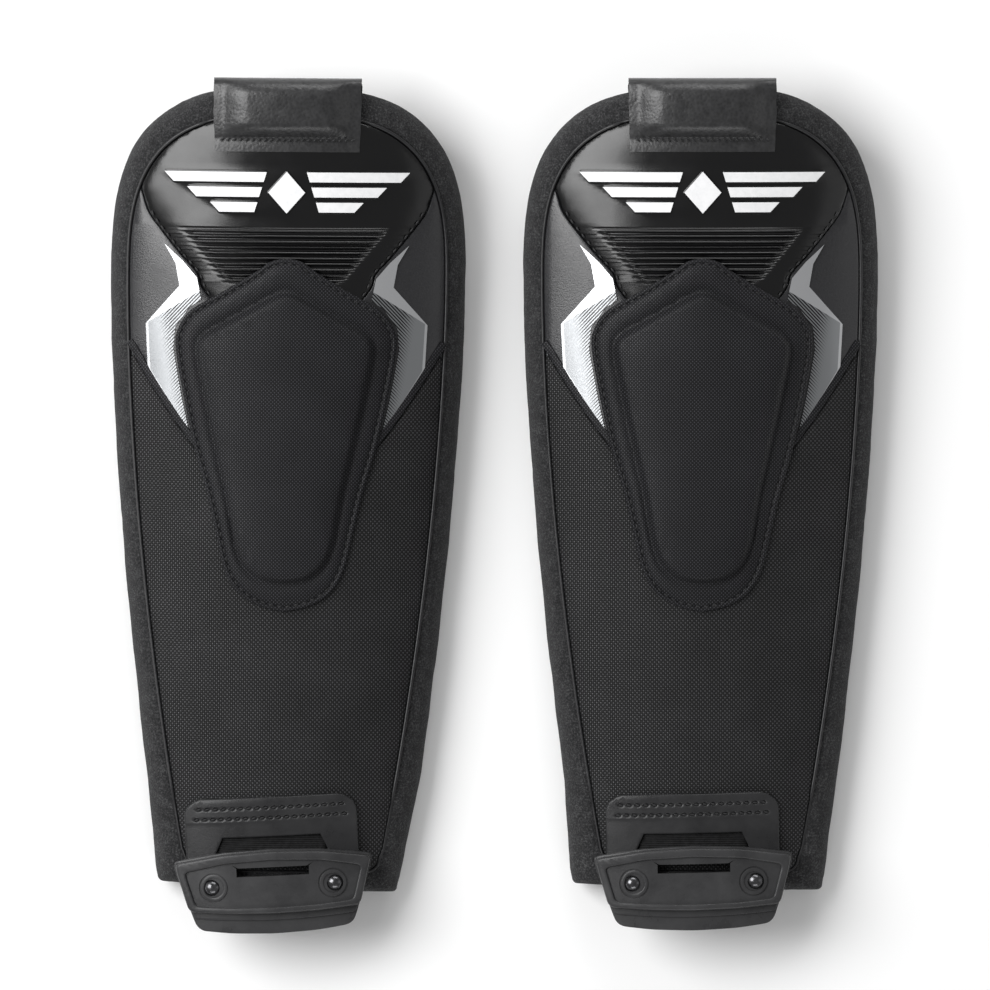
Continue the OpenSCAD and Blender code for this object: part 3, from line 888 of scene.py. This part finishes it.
def cap(side):
    """Shin cap: a sewn flange round a raised middle, moulded in one and covered with cloth."""
    edge = cap_edge()
    foot = spread(rounded(both_sides(PLATEAU_HALF), 3), CAP_POINTS)
    flange = moved_in(edge, 2.5)
    brow = moved_in(foot, 2.3)
    crown = moved_in(foot, 3.6)
    rings = [
        level(moved_in(edge, 0.3), 0.1), level(edge, 0.5), level(edge, 1.0), level(moved_in(edge, 0.35), 1.5),
        level(moved_in(edge, 0.9), 1.7), level(moved_in(edge, 1.3), 1.4), level(moved_in(edge, 1.6), 1.15),
        level(moved_in(edge, 1.9), 1.4), level(flange, 1.9),
        level(between(flange, foot, 0.3), 2.25), level(between(flange, foot, 0.6), 2.2),
        level(between(flange, foot, 0.85), 1.9), level(foot, 1.7),
        level(between(foot, brow, 0.2), 2.3), level(between(foot, brow, 0.5), 3.9),
        level(between(foot, brow, 0.8), 4.9), level(brow, 5.2), level(crown, 5.35),
    ]
    bm = skin(rings, (2.5, 3))
    away = away_from(crown)
    for v in bm.verts:
        if v.co.z > 5.3:
            v.co.z += 0.5 * (1 - math.exp(-away(v.co) / 5))
            v.co.z += 0.12 * noise.noise(Vector((v.co.x * 0.08, v.co.y * 0.05, 1.7)))
    bend(bm, CAP_R)
    obj = piece(bm, side, "cap_pad", CAP_CLOTH, stands_for=["cap_cover"], sharp=75)
    to_pad = PLACE[side].inverted()

    def sewn_down(co):
        x, _, z = to_pad @ co
        return math.hypot(x, z) < CAP_R + 2.6
    return swollen(obj, 0.0009, sewn_down)


def pull_tab(side):
    """Leather folded over the top edge and sewn through the rim, its middle raised by a webbing core."""
    route = smoothed([
        (115.6, 105.7), (117.6, 105.6), (119.6, 105.3), (121.4, 105.6), (125, 106.0), (131, 106.2),
        (135.6, 106.0), (138.6, 105.0), (139.5, 102.6), (139.4, 98.5), (138.9, 94.0), (137.6, 91.6),
        (134, 91.0), (126, 91.1), (117, 91.1)], 6)
    half_width, bulge, wrinkle_depth, ragged = 24.0, 2.8, 0.12, 0.25
    bm = bmesh.new()
    columns, rows = 64, len(route) - 1
    bmesh.ops.create_grid(bm, x_segments=columns, y_segments=rows, size=1)
    for v in bm.verts:
        i = min(int(round((v.co.y + 1) / 2 * rows)), rows)
        y, r = route[i]
        x = v.co.x * (half_width - 0.5 * max(0, (128 - y) / 12) if r > 98 else half_width - 0.2)
        inner = min(max((20.6 - abs(x)) / 8.5, 0), 1)
        up = min(max((y - 120.2) / 4.5, 0), 1) * min(max((140.5 - y) / 7.0, 0), 1) if r > 103 else 0
        raised = bulge * math.sin(inner * math.pi / 2) * math.sin(up * math.pi / 2)
        wrinkle = wrinkle_depth * noise.noise(Vector((x * 0.16, y * 0.22, 3))) * up
        edge = ragged * noise.noise(Vector((y * 0.3, 0, 5))) if abs(v.co.x) > 0.98 else 0
        v.co = Vector((x + edge, y, r - ARCH_R + raised + wrinkle))
    bend(bm, ARCH_R)
    bm.normal_update()
    if sum(f.normal.z for f in bm.faces if f.calc_center_median().z > 100) < 0:
        bmesh.ops.reverse_faces(bm, faces=bm.faces)
    bmesh.ops.solidify(bm, geom=bm.faces[:], thickness=1.2)
    # The cut ends, whose faces turn towards the toe, get the pale colour, a painted highlight.
    for face in bm.faces:
        if face.normal.y < -0.9 and face.calc_center_median().z > 60:
            face.material_index = 1
    obj = piece(bm, side, "pull_tab_leather", LEATHER, stands_for=["pull_tab"], sharp=60)
    obj.data.materials.append(CUT_EDGE_HIGHLIGHT)
    return obj


def tab_core(side):
    """Webbing folded inside the pull tab."""
    outline = rounded([(-17.0, 122.5), (17.0, 122.5), (17.0, 137.0), (-17.0, 137.0)], 2)
    bm = slab(outline, 1.2, 0.3)
    slice_up(bm, 3, 4)
    bend(bm, 105.4)
    obj = piece(bm, side, "tab_webbing", NYLON, stands_for=["pull_core"])
    return obj


def toe_strap(side):
    """Rubber strap sewn to the pad, with a window; it carries the clip. It is one piece that rides on no
    body, so it does not bend at the window.
    """
    outline = both_sides(STRAP_HALF)
    bm = slab(outline, 1.9, 0.45, holes=[WINDOW])
    slice_up(bm, 0.5, 1.5)
    slice_up_band(bm, 22.0, 28.8, 0.3)
    dents = [place for row in STRAP_ROWS.values() for place in stitch_places(row, STRAP_PITCH)]
    band_y, band_rise = 22.1, 0.1
    dent_long, dent_wide, dent_depth = 1.15, 0.6, 0.7
    for v in bm.verts:
        if v.co.z > 1:
            v.co.z += band_rise * min(max((v.co.y - band_y) / 0.8, 0), 1)
        if v.co.z > 1 and v.co.y > 22.5:
            reach = min(((v.co.x - x) / dent_long) ** 2 + ((v.co.y - y) / dent_wide) ** 2
                        for x, y, _ in dents)
            v.co.z -= dent_depth * max(0, 1 - reach) ** 0.5
    turned_to_clip(bm, side)
    bend(bm, FRONT_R + 0.12)
    obj = piece(bm, side, "toe_strap", STRAP_RUBBER, None, stands_for=["toe_tab", "toe_leaf"],
                sharp=50)
    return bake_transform(obj)


def slot_ring():
    """Lace slot with flared upper corners."""
    x, low, high = SLOT_LEN / 2, SLOT_V - SLOT_W / 2, SLOT_V + SLOT_W / 2
    return [(-x, low), (x, low), (x, high), (x + 1.6, high + 1.2), (x - 0.6, high), (-x + 0.6, high),
            (-x - 1.6, high + 1.2), (-x, high)]


def rivet_circle(hand, radius, count=40):
    """A circle about a rivet."""
    turns = [2 * math.pi * k / count for k in range(count)]
    return [(hand * RIVET_U + radius * math.cos(turn), RIVET_V + radius * math.sin(turn)) for turn in turns]


def clip_back(side):
    """Rear moulding of the clip: a thin lip below, a thicker step above."""
    base = both_sides(CLIP_HALF)
    lip = spread(rounded(base, 3), 180)
    bm = slab(lip, 1.7, 0.5, holes=[slot_ring()])
    upper = [(x * 0.985, max(y, -9.2 + 0.0016 * x * x)) for x, y in spread(base, 180)]
    step = spread(rounded(upper, 0.6), 180)
    joined(bm, slab(step, 2.5, 0.4, holes=[slot_ring()]))
    slice_up(bm, 3, 4)
    turned_to_clip(bm, side)
    bend(bm, STRAP_R + 0.1)
    return piece(bm, side, "clip_rear", CLIP_RUBBER, "clip", stands_for=["clip_base"])


def clip_front(side):
    """Front moulding: a raised border round a sunk floor, cut through by the lace slot."""
    count = 180
    outer = spread(rounded(both_sides(FRONT_HALF), 2.2), count)
    inner = spread(rounded(both_sides(RECESS_HALF), 1.4), count)
    border = [(0.2, 0.0), (0.0, 0.25), (0.0, 1.5), (0.12, 1.8), (0.4, 2.05), (0.75, 2.12)]
    well = [(-0.75, 2.10), (-0.4, 2.05), (-0.12, 1.85), (0.0, 1.6), (0.0, 1.15)]
    rings = [level(moved_in(outer, depth), height) for depth, height in border]
    rings += [level(moved_in(inner, depth), height) for depth, height in well]
    bm = skin(rings)
    cut(bm, [slot_ring()], -1, 5)
    cut(bm, [rivet_circle(hand, 4.9) for hand in (-1, 1)], 0.85, 5)
    for hand in (-1, 1):
        joined(bm, slab(rivet_circle(hand, 4.45), 1.2, 0.25, holes=[rivet_circle(hand, 3.2)]))
    slice_up(bm, 3, 4)
    turned_to_clip(bm, side)
    bend(bm, STRAP_R + 2.6)
    return piece(bm, side, "clip_front", CLIP_RUBBER, "clip", stands_for=["clip_plate"])


def rivet_pair(side):
    """Domed heads in shallow rings, with shanks and tails behind the strap."""
    ball, crown, foot = 2.9, 5.2, 3.35
    shank, tail = (-2.6, 3.4, 1.1), (-2.6, -1.95, 1.5)
    bm = bmesh.new()
    for hand in (-1, 1):
        at = upright(*clip_spot(side, hand * RIVET_U, RIVET_V), STRAP_R)
        dome = bmesh.ops.create_uvsphere(bm, u_segments=32, v_segments=20, radius=ball,
                                         matrix=at @ Matrix.Translation((0, 0, crown - ball)))["verts"]
        edges = list({e for v in dome for e in v.link_edges})
        faces = list({f for v in dome for f in v.link_faces})
        up = (at.to_3x3() @ Vector((0, 0, 1))).normalized()
        cutting = bmesh.ops.bisect_plane(bm, geom=dome + edges + faces, plane_co=at @ Vector((0, 0, foot)),
                                         plane_no=up, clear_inner=True)
        border = [g for g in cutting["geom_cut"] if isinstance(g, bmesh.types.BMEdge)]
        bmesh.ops.contextual_create(bm, geom=border)
        for low, high, radius in (shank, tail):
            middle = at @ Matrix.Translation((0, 0, (low + high) / 2))
            bmesh.ops.create_cone(bm, cap_ends=True, segments=24, radius1=radius, radius2=radius,
                                  depth=high - low, matrix=middle)
    return piece(bm, side, "rivet_pair", RIVET, "clip", stands_for=["rivets"])


def stitch_places(path, pitch):
    """Middle and direction of each stitch along a path."""
    count = max(2, round(sum(math.dist(a, b) for a, b in zip(path, path[1:])) / pitch))
    spots = spread(path, count, closed=False)
    return [((a[0] + b[0]) / 2, (a[1] + b[1]) / 2, math.atan2(b[1] - a[1], b[0] - a[0]))
            for a, b in zip(spots, spots[1:])]


def sewn(side, name, path, radius, pitch=2.75, length=2.0, body="pad", width=0.32, lie=0.0):
    """Single stitches along a path on the arch, each a small sunk loop of thread."""
    bm = bmesh.new()
    for x, y, turn in stitch_places(path, pitch):
        lying = Matrix.Rotation(turn + lie, 4, "Z") @ Matrix.Diagonal((length / 2, width, width * 0.9, 1))
        shape = upright(x, y, radius) @ lying
        bmesh.ops.create_uvsphere(bm, u_segments=6, v_segments=5, radius=1, matrix=shape)
    return piece(bm, side, name, THREAD, body, sharp=180)


def welt(side):
    """Piping sewn into the seam between the felt rim and the shell."""
    line = bpy.data.curves.new("welt", "CURVE")
    line.dimensions, line.bevel_depth, line.bevel_resolution = "3D", 0.52, 3
    grown = dict(SHELL, half=SHELL["half"] + 0.6, dome=SHELL["dome"] + 0.6, toe=SHELL["toe"] - 0.6)
    ring = arched(grown)
    spline = line.splines.new("POLY")
    spline.points.add(len(ring) - 1)
    spline.use_cyclic_u = True
    for point, (x, y) in zip(spline.points, ring):
        low = 0.9 if y < -95 and abs(x) < 36 or y > 112 and abs(x) < 27 else 0
        r = FRONT_R - 0.15 - low
        point.co = (x, y, math.sqrt(r * r - x * x), 1)
    rod = placed("welt", line)
    bm = bmesh.new()
    bm.from_mesh(evaluated(rod).to_mesh())
    bpy.data.objects.remove(rod)
    bpy.data.curves.remove(line)
    return piece(bm, side, "welt", PIPING, stands_for=["rim_piping"], sharp=180)


def cap_row(side):
    """Stitches in the sunk line along the cap's edge."""
    row = moved_in(cap_edge(), 1.6)
    sewn(side, "cap_stitches", row + [row[0]], CAP_R + 1.25)


def tab_row(side):
    """Close stitches across the foot of the pull tab."""
    sewn(side, "pull_tab_stitches", [(-22.3, 119.5), (22.3, 119.5)], 106.1, pitch=1.9, length=1.7, lie=0.6)


def strap_rows(side):
    """Two rows of stitches that hold the strap down, each stitch in its own dent."""
    for word, row in STRAP_ROWS.items():
        path = [clip_spot(side, u, v) for u, v in row]
        sewn(side, f"strap_stitches_{word}", path, FRONT_R + 1.85, STRAP_PITCH, 1.8, width=0.3, lie=0.2)


def window_shade_sheet(side):
    """Dark ribbed sheet on the pad behind the strap's window. The pad's own nylon lies there in shade, and
    this nearly black sheet is painted shade that stands for it.
    """
    bm = slab(both_sides(WINDOW_SHADE_SHEET_HALF), 0.5, 0.12)
    slice_up(bm, 2.5, 2.5)
    turned_to_clip(bm, side)
    bend(bm, FRONT_R + 0.5)
    return piece(bm, side, "window_shade_sheet", WINDOW_SHADE_SHEET)


def crest_seam_rows(side):
    """Stitches along the lower slanted seams of the crest."""
    for hand, word in ((-1, "outer"), (1, "inner")):
        seam = [(hand * (x - 1.3), y - 0.4) for x, y in smoothed(CREST_SEAM) if 68 < y < 97]
        sewn(side, f"crest_stitches_{word}", seam, FRONT_R + 0.55, pitch=2.6, length=1.9)


for side in HAND:
    felt_body(side)
    nylon_front(side)
    crest(side)
    for hand, word in ((-1, "outer"), (1, "inner")):
        wing(side, hand, word)
        wing_hem(side, hand, word)
        flash(side, hand, word)
    emblem(side)
    cap(side)
    pull_tab(side)
    tab_core(side)
    toe_strap(side)
    window_shade_sheet(side)
    clip_back(side)
    clip_front(side)
    rivet_pair(side)
    welt(side)
    cap_row(side)
    tab_row(side)
    strap_rows(side)
    crest_seam_rows(side)

for name, node in frame["nodes"].items():
    if not node.hide_render:
        node.data.materials.clear()
        node.data.materials.append(PLATE if name.endswith("cap_plate") else FOAM)


# ---------------------------------------------------------------- floor, lights and camera

def studio():
    """White floor, four softboxes and the camera."""
    bm = bmesh.new()
    bmesh.ops.create_grid(bm, x_segments=2, y_segments=2, size=3)
    mesh = bpy.data.meshes.new("floor")
    bm.to_mesh(mesh)
    bm.free()
    floor = placed("floor", mesh)
    floor.location.z = -0.0005
    mat, shader, spot = new_material("white_paper_floor", Roughness=0.9, Specular_IOR_Level=0.1)
    mottle = add(mat, "TexNoise", {"Vector": spot, "Scale": 3, **SOFT_NOISE})
    tone = add(mat, "ValToRGB", [mottle], stops=[(0.0, "#f6f6f6"), (1.0, "#ffffff")])
    wire(mat, shader, Base_Color=tone)
    mesh.materials.append(mat)

    world = bpy.data.worlds.new("studio")
    bpy.context.scene.world = world
    world.use_nodes = True
    glow = world.node_tree.nodes["Background"].inputs
    glow["Color"].default_value, glow["Strength"].default_value = paint("#ffffff"), 0.3

    def softbox(name, at, size, power):
        light = bpy.data.lights.new(name, "AREA")
        light.shape, light.size, light.size_y, light.energy = "RECTANGLE", size[0], size[1], power
        lamp = placed(name, light)
        lamp.location = at
        lamp.rotation_euler = (-Vector(at)).to_track_quat("-Z", "Y").to_euler()
    softbox("key_softbox", (-1.15, 0.45, 1.25), (1.2, 1.2), 33)
    softbox("fill_softbox", (1.7, 0.0, 0.5), (0.8, 1.4), 1.5)
    softbox("top_softbox", (0.3, 1.8, 0.8), (1.6, 0.5), 12)
    softbox("toe_softbox", (0.2, -1.8, 1.0), (1.6, 0.5), 9)

    lens = bpy.data.cameras.new("camera")
    lens.lens, lens.sensor_width = 300, 36
    camera = placed("camera", lens)
    view_width = 0.324
    distance = view_width * lens.lens / lens.sensor_width
    camera.location = (0.0002, 0.0031, 0.016 + distance)
    lens.clip_end = 20
    bpy.context.scene.camera = camera
    bpy.context.scene.view_settings.view_transform = "Standard"


studio()
